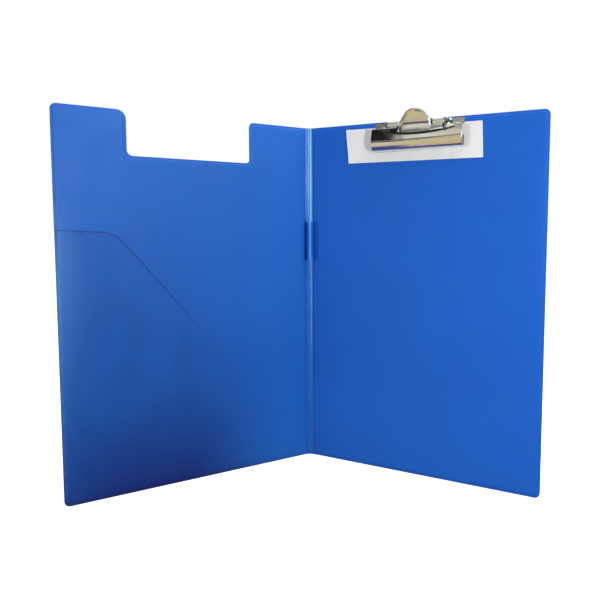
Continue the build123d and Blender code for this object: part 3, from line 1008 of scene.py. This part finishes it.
def cut_edge_and_shadow():
    # near-black steel for the apron's lower edge: the bare cut edge and a painted shadow of the gap beneath it
    m, nt, bsdf = new_material("cut_edge_painted_shadow")
    tc = nt.nodes.new("ShaderNodeTexCoord").outputs["Object"]
    streak = noise_tex(nt, tc, 900.0, 3.0, 0.6)
    c = ramp(nt, streak.outputs["Fac"], [(0.3, (0.030, 0.029, 0.027)), (0.7, (0.070, 0.068, 0.062))])
    nt.links.new(c.outputs["Color"], bsdf.inputs["Base Color"])
    bsdf.inputs["Metallic"].default_value = 1.0
    bsdf.inputs["Roughness"].default_value = 0.45
    return m


JAW = [(9.2, 332.4), (10.6, 327.4), (11.4, 322.2), (11.4, 318.2), (10.5, 315.0), (8.4, 312.9), (5.6, 311.7), (3.0, 310.9)]
PIN_N, PIN_Z = 6.0, 336.0
jaw_path = spline(JAW, 90)


def jaw_n(z):
    """Outer face of the jaw above its crown, as n over z."""
    up_part = jaw_path[jaw_path[:, 1] > 317.0][::-1]
    return float(np.interp(z, up_part[:, 1], up_part[:, 0]))


def press_wave(s, f):
    small = 0.05 * noise.noise(Vector((s / 26.0, f * 2.1, 4.4))) + 0.010 * noise.noise(Vector((s / 7.0, f * 6.0, 9.1)))
    # the pressing is fuller towards its right end, where the crown sits higher
    share = min(1.0, max(0.0, (s + 44.5) / 89.0))
    return small + 0.42 * share * share * math.exp(-(((f - 0.30) / 0.17) ** 2)) - 0.25 * (1 - share) ** 2 * math.exp(-(((f - 0.62) / 0.12) ** 2)) - 1.35 * share * share * math.exp(-(((f - 1.0) / 0.14) ** 2))


def lip_cut(f):
    # both lower corners are rounded off
    t = max(0.0, (f - 0.72) / 0.28)
    return 3.1 * (1 - math.sqrt(max(0.0, 1 - t * t)))


def knuckle_parts(s0, s1):
    """A rolled eye round the pin and the tongue that lies over the apron."""
    mid = 2.55
    arc = [(PIN_N + 3.0 * math.cos(t), PIN_Z + 3.0 * math.sin(t)) for t in np.linspace(math.radians(285), math.radians(-28), 66)]
    root = [(8.62, 333.9), (8.75, 333.2), (9.05, 332.4), (9.35, 331.6)]
    eye = np.array(arc + root)
    barrel = folded(eye, 0.9, lambda f: s0, lambda f: s1, step=0.35, r=0.25, cells=12)
    lobe = spline([(8.75, 336.9), (9.9, 335.6), (11.3, 333.4), (12.4, 330.6), (12.7, 328.4), (12.2, 327.4)], 40)

    # a narrow ear at the eye's end, turned out along its outer side
    def lean(f):
        return 0.9 * f

    def curl(s, f):
        return 0.45 * math.exp(-(((s - (s1 + 0.5)) / 0.9) ** 2)) * min(1.0, f * 3.0)

    tongue = folded(lobe, 0.8, lambda f: s1 - 2.4 + lean(f) + 0.5 * max(0.0, f - 0.7) / 0.3, lambda f: s1 + 0.1 + lean(f) - 0.4 * max(0.0, f - 0.7) / 0.3, wave=curl, step=0.4, r=0.38, cells=10)
    return [barrel, tongue]


jaw_parts = [folded(jaw_path, 0.9, lambda f: -44.5 + lip_cut(f), lambda f: 44.5 - lip_cut(f), wave=press_wave, step=0.55)]
for s0, s1 in ((-28.5, -16.0), (16.0, 28.5)):
    jaw_parts += knuckle_parts(s0, s1)
clip_jaw = make("clip_jaw_pressing", *joined(jaw_parts), mat_plate, "jaw", ("clip_jaw",), "plated_steel", sharp=55)
clip_jaw.data.materials.append(mat_dull)
clip_jaw.data.materials.append(mat_barrel)
origin_x = clip(0.0, 0.0, 0.0)[0]
for p in clip_jaw.data.polygons:
    # darker, rougher plating on the right eye's end and ear
    ps, pz = (p.center.x - origin_x) * 1000.0, p.center.z * 1000.0
    if 26.6 < ps < 30.2 and pz > 326.5 and p.center.y < clip(0.0, 0.0, 0.0)[1] and (ps > 28.2 or p.normal.x > 0.3 or pz > 335.5):
        p.material_index = 1
    elif pz > 332.6 and 15.0 < abs(ps) < 28.8 and (clip(0.0, 0.0, 0.0)[1] - p.center.y) * 1000.0 < 9.3:
        # the rolled eyes are satin where the roll has stretched the plating
        p.material_index = 2

# lever: apron over the jaw, rising into the dished thumb tab
TAB_Z, TAB_HALF = 334.3, 15.4
LEVER_Z = [324.5, 326.0, 327.9, 329.1, 330.3, 331.6, 332.7, 334.1, 335.5, 337.1, 338.8, 342.0, 345.0, 348.5]
LEVER_N = [13.55, 13.00, 12.24, 11.82, 11.54, 11.34, 11.27, 11.235, 11.23, 11.29, 11.42, 11.80, 12.42, 13.30]
lever_path = spline(list(zip(LEVER_N, LEVER_Z)), 160)


def apron_low(s):
    return 325.7 + 4.4 * (s / 38.0) ** 2


def lever_n(s, z):
    centre = float(np.interp(z, lever_path[:, 1], lever_path[:, 0]))
    hug = jaw_n(min(z, 332.3)) + 0.95 + press_wave(s, max(0.0, (332.4 - z) / 27.5))
    # the lower edge stands off the jaw
    side = min(1.0, max(0.0, (-s - 14.0) / 12.0))
    hug += 0.85 * (1 - 0.85 * side * side * (3 - 2 * side)) * math.exp(-max(0.0, z - apron_low(s)) / 2.4)
    t = min(1.0, max(0.0, (abs(s) - 13.6) / 2.6))
    t = t * t * (3 - 2 * t)
    if z > 333.1:
        t *= max(0.0, 1 - (z - 333.1) / 2.0)
    dish = 0.25 * (s / TAB_HALF) ** 2 * min(1.0, max(0.0, (z - 337.5) / 5.0))
    # the border rolls over towards the turned-back rim
    roll = 0.0
    if z > 334.0:
        e = min(segment_distance((s, z), a, b) for a, b in zip(edge, edge[1:]))
        if e < 2.9:
            bead = 0.36 * math.sin(math.pi * min(1.0, (e + 0.25) / 3.15)) ** 1.5
            roll = -bead * min(1.0, (z - 334.0) / 3.0)
    return centre * (1 - t) + hug * t + dish - roll + 0.03 * noise.noise(Vector((s / 9.0, z / 7.0, 2.7)))


def tab_edge(count):
    """Right foot of the tab, over the top, to its left foot."""
    half = spline([(15.4, 0.0), (14.6, 3.1), (12.9, 6.1), (10.7, 9.1), (7.6, 11.9), (3.9, 13.5), (0.0, 14.0)], count)
    right_side = [(x, TAB_Z + y) for x, y in half]
    return right_side + [(-x, z) for x, z in right_side[-2::-1]]


edge = tab_edge(26)
outline = [(s, apron_low(s)) for s in np.linspace(-38.0, 38.0, 64)]
outline += [(36.4, 331.4), (34.4, 332.3)]
outline += [(s, 332.4) for s in np.linspace(32.0, 15.9, 15)] + [(15.5, 333.2)]
outline += edge
outline += [(-15.5, 333.2)] + [(-s, 332.4) for s in np.linspace(15.9, 32.0, 15)]
outline += [(-34.4, 332.3), (-36.4, 331.4)]
shoulder = []
for i in range(1, len(edge) - 1):
    d = (Vector(edge[i + 1]) - Vector(edge[i - 1])).normalized()
    for e in (0.45, 0.65, 0.9, 1.15, 1.4, 1.65, 1.9, 2.15, 2.4, 2.65, 2.9, 3.15):
        shoulder.append((edge[i][0] - d.y * e, edge[i][1] + d.x * e))


def edge_shadow_band(s):
    """Height of the dark band along the apron's lower edge, the bare cut edge darkened further as painted shadow of
    the gap under it, finer towards the right end.
    """
    t = min(1.0, max(0.0, (s - 20.0) / 12.0))
    return 0.95 - 0.65 * t * t * (3 - 2 * t)


shoulder += [(s, apron_low(s) + edge_shadow_band(s)) for s in np.linspace(-36.5, 36.5, 62)]
face_part = plate_mesh(outline, lever_n, 0.8, 0.85, r=0.38, more=shoulder)


def rim_mesh():
    """The tab's border, turned back towards the cover."""
    wall, depth = 0.8, 4.0
    verts, faces = [], []
    m = len(edge)
    for i, (s, z) in enumerate(edge):
        a, b = edge[max(i - 1, 0)], edge[min(i + 1, m - 1)]
        d = Vector((b[0] - a[0], b[1] - a[1])).normalized()
        out_dir = Vector((d.y, -d.x))
        # short at the foot, where the tab clears the spring
        deep = 0.9 + (depth - 0.9) * min(1.0, max(0.0, (z - TAB_Z - 1.2) / 3.2))
        top = lever_n(s, z)
        section = [(0.0, 0.30), (0.06, 0.55), (0.04, deep * 0.6), (-0.10, deep - 0.25), (-0.35, deep), (-0.62, deep - 0.12),
                   (-wall + 0.02, deep - 0.35), (-wall, deep * 0.5), (-wall - 0.05, 0.8), (-wall, 0.45)]
        for o, back in section:
            verts.append(clip(s + out_dir.x * o, z + out_dir.y * o, top - back))
    k = 10
    for i in range(m - 1):
        for j in range(k):
            a, b = i * k + j, i * k + (j + 1) % k
            faces.append((a, b, b + k, a + k))
    faces.append(tuple(range(k - 1, -1, -1)))
    faces.append(tuple((m - 1) * k + j for j in range(k)))
    return verts, faces


clip_lever = make("clip_lever_pressing", *joined([face_part, rim_mesh()]), mat_plate, "jaw", ("clip_lever",), "plated_steel", sharp=55)
clip_lever.data.materials.append(cut_edge_and_shadow())
clip_lever.data.materials.append(mat_dull)
origin_x = clip(0.0, 0.0, 0.0)[0]
for p in clip_lever.data.polygons:
    # the lower edge band: bare cut steel, dark as painted shadow of the gap under the apron
    ps, pz = (p.center.x - origin_x) * 1000.0, p.center.z * 1000.0
    if pz < apron_low(ps) + edge_shadow_band(ps) - 0.02:
        p.material_index = 1
    # darker, rougher plating on the tab's right foot, on faces turned to +x
    elif 9.0 < ps < 17.5 and 331.0 < pz < 339.0 and p.normal.x > 0.3:
        p.material_index = 2

# pin with domed ends
pin_v, pin_f = [], []
pin_s = [-31.8, -31.75, -31.5, -31.1, -30.9, -30.85, -30.4, 30.4, 30.85, 30.9, 31.1, 31.5, 31.75, 31.8]
pin_r = [0.3, 0.9, 1.45, 1.95, 2.0, 1.9, 1.45, 1.45, 1.9, 2.0, 1.95, 1.45, 0.9, 0.3]
for s, rad in zip(pin_s, pin_r):
    for k in range(24):
        t = 2 * math.pi * k / 24
        pin_v.append(clip(s, PIN_Z + rad * math.sin(t), PIN_N + rad * math.cos(t)))
for i in range(len(pin_s) - 1):
    for k in range(24):
        k2 = (k + 1) % 24
        pin_f.append((i * 24 + k, i * 24 + k2, (i + 1) * 24 + k2, (i + 1) * 24 + k))
pin_f.append(tuple(range(23, -1, -1)))
pin_f.append(tuple((len(pin_s) - 1) * 24 + k for k in range(24)))
pin = make("pivot_pin_turned", pin_v, pin_f, mat_pin, "rear_cover", ("pivot_pin",), "plated_steel", sharp=50)



def wire(path, radius, k=10):
    """A round wire along a path of (s, z, n) points, its ends domed."""
    pts = [Vector(q) for q in path]
    d0, d1 = (pts[0] - pts[1]).normalized(), (pts[-1] - pts[-2]).normalized()
    pts = [pts[0] + d0 * 0.18, pts[0] + d0 * 0.10] + pts + [pts[-1] + d1 * 0.10, pts[-1] + d1 * 0.18]
    radii = [0.45, 0.8] + [1.0] * len(path) + [0.8, 0.45]
    up = Vector((1.0, 0.0, 0.0))
    verts, faces = [], []
    for i, q in enumerate(pts):
        t = (pts[min(i + 1, len(pts) - 1)] - pts[max(i - 1, 0)]).normalized()
        up = (up - t * up.dot(t)).normalized()
        other = t.cross(up)
        for j in range(k):
            a = 2 * math.pi * j / k
            v = q + (up * math.cos(a) + other * math.sin(a)) * radius * radii[i]
            verts.append(clip(*v))
    for i in range(len(pts) - 1):
        for j in range(k):
            j2 = (j + 1) % k
            faces.append((i * k + j, i * k + j2, (i + 1) * k + j2, (i + 1) * k + j))
    faces.append(tuple(range(k - 1, -1, -1)))
    faces.append(tuple((len(pts) - 1) * k + j for j in range(k)))
    return verts, faces


# torsion spring: one leg on the base plate, the coil round the pin, the other
# leg behind the tab
COIL_R, COIL_HALF, TURNS = 2.25, 4.6, 8
wire_path = [(-COIL_HALF, 324.0 + 11.0 * t, 2.55 + 5.47 * t) for t in np.linspace(0.0, 0.97, 12)]
total_turn = 2 * math.pi * TURNS + math.radians(5.5)
for i in range(TURNS * 22 + 1):
    t = i / (TURNS * 22)
    a = math.radians(116.4) - total_turn * t
    wire_path.append((-COIL_HALF + 2 * COIL_HALF * t, PIN_Z + COIL_R * math.cos(a), PIN_N + COIL_R * math.sin(a)))
wire_path += [(COIL_HALF, 335.2 + 6.4 * t, 8.1 + 2.2 * t) for t in np.linspace(0.05, 1.0, 9)]
spring = make("torsion_spring_wound", *wire(wire_path, 0.4), mat_spring, sharp=60)
clip(-4.3, PIN_Z, PIN_N)
clip(4.3, PIN_Z, PIN_N)
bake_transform(spring)
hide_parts("torsion_spring")

for o in (clip_jaw, clip_lever, pin, spring):
    bpy.context.view_layer.objects.active = o
    bm = bmesh.new()
    bm.from_mesh(o.data)
    bmesh.ops.recalc_face_normals(bm, faces=bm.faces)
    bm.to_mesh(o.data)
    bm.free()
    o.data.set_sharp_from_angle(angle=math.radians(55))

# the pieces kept as modelled
for name, mat in {
    "clip_base_plate": mat_base, "rivets": mat_rivet, "rivet_washers": mat_rivet,
    "rear_board_core": mat_board, "front_board_core": mat_board,
}.items():
    data = nodes[name].data
    data.materials.clear()
    data.materials.append(mat)

# ---------------------------------------------------------------- floor, light
m_floor, nt, bsdf = new_material("floor_pale")
tc = nt.nodes.new("ShaderNodeTexCoord").outputs["Object"]
nz = noise_tex(nt, tc, 3.0, 3.0, 0.5)
c = ramp(nt, nz.outputs["Fac"], [(0.2, (0.86, 0.86, 0.86)), (0.8, (0.90, 0.90, 0.90))])
nt.links.new(c.outputs["Color"], bsdf.inputs["Base Color"])
bsdf.inputs["Roughness"].default_value = 0.7
bsdf.inputs["Specular IOR Level"].default_value = 0.2
bsdf.inputs["Emission Color"].default_value = (1.0, 1.0, 1.0, 1.0)
bsdf.inputs["Emission Strength"].default_value = 0.72
floor = make("floor", [(-40, -40, 0), (40, -40, 0), (40, 40, 0), (-40, 40, 0)], [(0, 1, 2, 3)], m_floor)

# The studio: white behind and above the folder, dimmer on the camera's side,
# and a dark table below. The floor is lit and seen, and the table stands in
# for it in reflections and bounced light.
floor.visible_diffuse = False
floor.visible_glossy = False
world = bpy.data.worlds.new("studio")
scene.world = world
world.use_nodes = True
wt = world.node_tree
bg = wt.nodes["Background"]
sep = wt.nodes.new("ShaderNodeSeparateXYZ")
wt.links.new(wt.nodes.new("ShaderNodeTexCoord").outputs["Generated"], sep.inputs["Vector"])
facing = remap(wt, sep.outputs["Y"], -0.35, 0.45, 0.0, 1.0)
facing.interpolation_type = "SMOOTHSTEP"
upper = ramp(wt, facing.outputs["Result"], [(0.0, (0.05, 0.05, 0.05)), (0.5, (0.16, 0.16, 0.16)), (1.0, (1.0, 1.0, 1.0))])
lower = ramp(wt, facing.outputs["Result"], [(0.0, (0.05, 0.05, 0.05)), (1.0, (0.10, 0.10, 0.10))])
height = remap(wt, sep.outputs["Z"], -0.06, 0.0, 0.0, 1.0)
height.interpolation_type = "SMOOTHSTEP"
mix = wt.nodes.new("ShaderNodeMix")
mix.data_type = "RGBA"
wt.links.new(height.outputs["Result"], mix.inputs["Factor"])
wt.links.new(lower.outputs["Color"], mix.inputs["A"])
wt.links.new(upper.outputs["Color"], mix.inputs["B"])
wt.links.new(mix.outputs["Result"], bg.inputs["Color"])
bg.inputs["Strength"].default_value = 1.0


def area(name, loc, target, size, power, colour=(1, 1, 1), glossy=True):
    data = bpy.data.lights.new(name, "AREA")
    data.shape = "RECTANGLE"
    data.size, data.size_y = size
    data.energy = power
    data.color = colour
    o = bpy.data.objects.new(name, data)
    scene.collection.objects.link(o)
    o.location = loc
    o.rotation_euler = (Vector(target) - Vector(loc)).to_track_quat("-Z", "Y").to_euler()
    o.visible_camera = False
    o.visible_glossy = glossy
    return o


def sun(name, direction, strength, angle):
    data = bpy.data.lights.new(name, "SUN")
    data.energy = strength
    data.angle = math.radians(angle)
    o = bpy.data.objects.new(name, data)
    scene.collection.objects.link(o)
    o.rotation_euler = Vector(direction).to_track_quat("-Z", "Y").to_euler()
    o.visible_glossy = False
    return o


area("light_side", (0.604, -0.349, 0.215), (0.0, 0.0, 0.17), (0.07, 0.10), 3.4, glossy=False)
area("light_far", (-1.07, -1.92, 0.42), (0.0, 0.0, 0.17), (0.8, 0.6), 20.0, glossy=False)
area("light_low", (0.62, -0.20, 0.05), (0.0, 0.0, 0.10), (0.12, 0.10), 0.5, glossy=False)
area("light_over", (0.256, 0.148, 0.804), (0.0, 0.0, 0.17), (0.2, 0.2), 1.3, glossy=False)
area("light_upper", (0.286, -0.077, 0.804), (0.0, 0.0, 0.17), (0.3, 0.25), 1.0, glossy=False)
area("light_front", (0.0, -0.296, 0.804), (0.0, 0.0, 0.17), (0.3, 0.25), 0.5, glossy=False)
sun("light_floor", (0.0, 0.0, -1.0), 0.5, 25.0)

# A shell round the studio, seen in reflections only: pale walls above, warm
# cardboard and table tones level and below, one tall bright window, and dark
# gaps between them. Directions are the shell's own, from its centre.
m_shell, nt, bsdf = new_material("studio_shell")
nt.nodes.remove(bsdf)
shell_out = next(n for n in nt.nodes if n.type == "OUTPUT_MATERIAL")
where = nt.nodes.new("ShaderNodeSeparateXYZ")
nt.links.new(nt.nodes.new("ShaderNodeTexCoord").outputs["Object"], where.inputs["Vector"])


def math_node(op, a, b=None):
    m = nt.nodes.new("ShaderNodeMath")
    m.operation = op
    nt.links.new(a, m.inputs[0])
    if b is not None:
        nt.links.new(b, m.inputs[1])
    return m.outputs["Value"]


# azimuth from -y towards +x, in radians
flip_y = remap(nt, where.outputs["Y"], -10.0, 10.0, 10.0, -10.0)
azimuth = math_node("ARCTAN2", where.outputs["X"], flip_y.outputs["Result"])
flat_r = math_node("SQRT", math_node("ADD", math_node("MULTIPLY", where.outputs["X"], where.outputs["X"]),
                                     math_node("MULTIPLY", where.outputs["Y"], where.outputs["Y"])))
elevation = math_node("ARCTAN2", where.outputs["Z"], flat_r)
el01 = remap(nt, elevation, -math.pi / 2, math.pi / 2, 0.0, 1.0).outputs["Result"]


def by_height(stops):
    return ramp(nt, el01, [((deg + 90.0) / 180.0, c) for deg, c in stops])


def window(az0, az1, el0, el1, soft_az=3.0, soft_el=3.0):
    """1 inside a patch of the shell, 0 outside, with soft borders."""
    parts = []
    for value, lo, hi, blur in ((azimuth, az0, az1, soft_az), (elevation, el0, el1, soft_el)):
        a = remap(nt, value, math.radians(lo - blur), math.radians(lo + blur), 0.0, 1.0)
        b = remap(nt, value, math.radians(hi - blur), math.radians(hi + blur), 1.0, 0.0)
        a.interpolation_type = b.interpolation_type = "SMOOTHSTEP"
        parts += [a.outputs["Result"], b.outputs["Result"]]
    out = parts[0]
    for q in parts[1:]:
        out = math_node("MULTIPLY", out, q)
    return out


def lay(under, over, factor):
    m = nt.nodes.new("ShaderNodeMix")
    m.data_type = "RGBA"
    nt.links.new(factor, m.inputs["Factor"])
    nt.links.new(under, m.inputs["A"])
    if isinstance(over, tuple):
        m.inputs["B"].default_value = (*over, 1)
    else:
        nt.links.new(over, m.inputs["B"])
    return m.outputs["Result"]


front_wall = by_height([
    (-90, (0.12, 0.09, 0.15)), (-64, (0.12, 0.09, 0.15)), (-59, (0.60, 0.51, 0.50)), (-38, (0.66, 0.57, 0.54)),
    (-33, (0.60, 0.49, 0.30)), (-22, (0.68, 0.62, 0.28)), (-6, (0.68, 0.62, 0.30)), (1, (0.66, 0.55, 0.40)), (7.5, (0.64, 0.52, 0.40)),
    (9.2, (0.10, 0.07, 0.12)), (11.8, (0.09, 0.06, 0.11)), (14, (0.80, 0.82, 0.71)), (23, (0.84, 0.86, 0.76)), (28, (0.58, 0.58, 0.53)),
    (34, (0.54, 0.54, 0.50)), (38, (0.22, 0.22, 0.20)), (53, (0.24, 0.24, 0.22)), (59, (1.0, 1.0, 0.98)), (90, (1.1, 1.1, 1.1)),
])
near_wall = by_height([
    (-90, (0.12, 0.09, 0.15)), (-64, (0.12, 0.09, 0.15)), (-59, (0.60, 0.51, 0.50)), (-44, (0.64, 0.54, 0.44)),
    (-38, (0.62, 0.52, 0.30)), (-4, (0.68, 0.60, 0.30)), (7.5, (0.64, 0.54, 0.36)), (9, (0.34, 0.27, 0.28)), (12, (0.36, 0.30, 0.30)),
    (15, (0.72, 0.68, 0.56)), (36, (0.70, 0.67, 0.58)), (44, (0.52, 0.50, 0.46)), (50, (0.28, 0.28, 0.26)), (54, (0.28, 0.28, 0.26)), (60, (1.0, 1.0, 0.98)), (90, (1.1, 1.1, 1.1)),
])
left_wall = by_height([
    (-90, (0.10, 0.08, 0.20)), (-40, (0.10, 0.09, 0.26)), (-30, (0.16, 0.13, 0.30)), (-26, (0.64, 0.55, 0.48)),
    (-10, (0.74, 0.64, 0.42)), (-1, (0.80, 0.70, 0.50)), (3, (0.14, 0.11, 0.09)), (7, (0.10, 0.08, 0.10)), (8.5, (0.22, 0.20, 0.34)), (11.5, (0.18, 0.16, 0.30)),
    (14, (0.012, 0.012, 0.010)), (51, (0.014, 0.013, 0.011)), (60, (0.95, 0.95, 0.93)), (90, (1.0, 1.0, 1.0)),
])
back_wall = by_height([(-90, (0.16, 0.16, 0.17)), (-4, (0.20, 0.20, 0.21)), (2, (0.95, 0.95, 0.95)), (90, (1.0, 1.0, 1.0))])
turn = remap(nt, where.outputs["X"], -5 * 0.405, -5 * 0.365, 1.0, 0.0)
turn.interpolation_type = "SMOOTHSTEP"
closer = remap(nt, where.outputs["X"], -5 * 0.345, -5 * 0.315, 0.0, 1.0)
closer.interpolation_type = "SMOOTHSTEP"
wall = lay(front_wall.outputs["Color"], near_wall.outputs["Color"], closer.outputs["Result"])
wall = lay(wall, left_wall.outputs["Color"], turn.outputs["Result"])
behind = math_node("ABSOLUTE", azimuth)
behind = remap(nt, behind, math.radians(118.0), math.radians(135.0), 0.0, 1.0)
behind.interpolation_type = "SMOOTHSTEP"
wall = lay(wall, back_wall.outputs["Color"], behind.outputs["Result"])
wall = lay(wall, (3.6, 3.8, 3.9), window(50.0, 73.0, 0.0, 30.0, 6.0, 7.0))
wall = lay(wall, (0.14, 0.16, 0.20), window(-2.0, 100.0, -70.0, 0.0, 6.0, 3.0))
wall = lay(wall, (4.5, 9.4, 10.6), window(23.0, 38.0, 2.5, 15.0, 2.0, 2.5))
wall = lay(wall, (2.4, 5.4, 7.2), window(8.0, 21.0, -12.0, 15.0, 2.0, 4.0))
wall = lay(wall, (9.0, 14.6, 13.0), window(8.0, 21.0, 1.0, 15.0, 2.0, 3.0))
glow = nt.nodes.new("ShaderNodeEmission")
nt.links.new(wall, glow.inputs["Color"])
glow.inputs["Strength"].default_value = 1.0
nt.links.new(glow.outputs["Emission"], shell_out.inputs["Surface"])

shell_v, shell_f = [], []
for i in range(1, 24):
    for k in range(48):
        el, az = math.pi * (i / 24 - 0.5), 2 * math.pi * k / 48
        shell_v.append((5 * math.cos(el) * math.cos(az), 5 * math.cos(el) * math.sin(az), 5 * math.sin(el)))
for i in range(22):
    for k in range(48):
        k2 = (k + 1) % 48
        shell_f.append((i * 48 + k, i * 48 + k2, (i + 1) * 48 + k2, (i + 1) * 48 + k))
shell_f.append(tuple(range(47, -1, -1)))
shell_f.append(tuple(22 * 48 + k for k in range(48)))
shell = make("studio_shell", shell_v, shell_f, m_shell)
shell.location = (0.0, 0.0, 0.2)
shell.visible_camera = shell.visible_diffuse = shell.visible_shadow = shell.visible_transmission = False

scene.view_settings.view_transform = "Standard"
scene.view_settings.look = "None"
